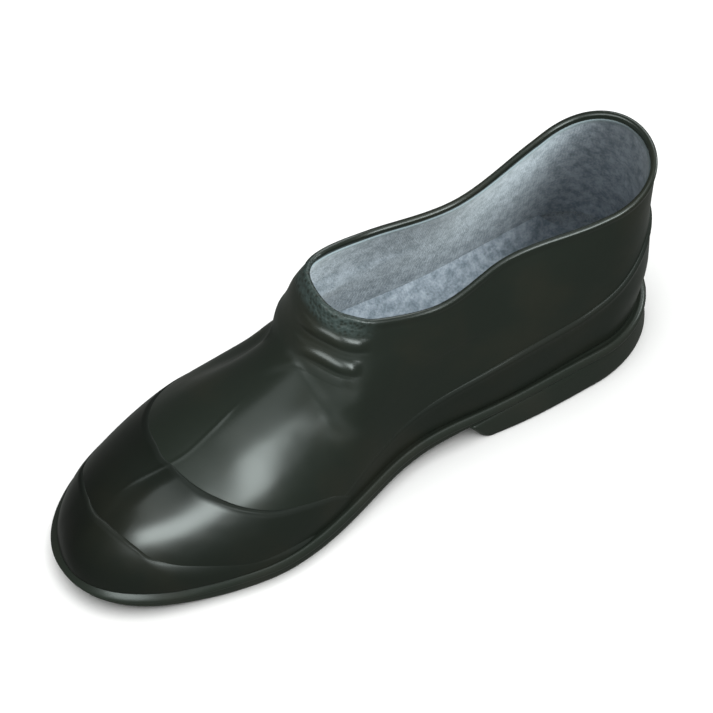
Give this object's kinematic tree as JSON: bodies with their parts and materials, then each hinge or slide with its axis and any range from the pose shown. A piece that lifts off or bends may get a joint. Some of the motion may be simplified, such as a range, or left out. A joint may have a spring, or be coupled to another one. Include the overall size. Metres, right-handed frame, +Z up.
{
  "type": "rubber overshoe",
  "caption": "Low slip-on rubber overshoe for the right foot, with a hollow upper, ribbed throat, toe cap, toe bumper, heel counter, lipped outsole, heel block and insole.",
  "frame": {"origin": "middle of the shoe's box, on the plane that the sole stands on", "axes": "+X along the shoe to the toe, +Y to the inner side of the right foot, +Z up"},
  "size_m": [0.3018, 0.1041, 0.1072],
  "materials": {
    "upper_rubber": "satin gloss moulded rubber, greenish black",
    "sole_rubber": "dull moulded rubber, greenish black",
    "knit_lining": "matt knitted textile, grey blue"
  },
  "bodies": {
    "root": {"upper": "upper_rubber", "toe_cap": "upper_rubber", "toe_bumper": "upper_rubber", "heel_counter": "upper_rubber", "outsole": "sole_rubber", "heel": "sole_rubber", "insole": "knit_lining"}
  },
  "joints": []
}
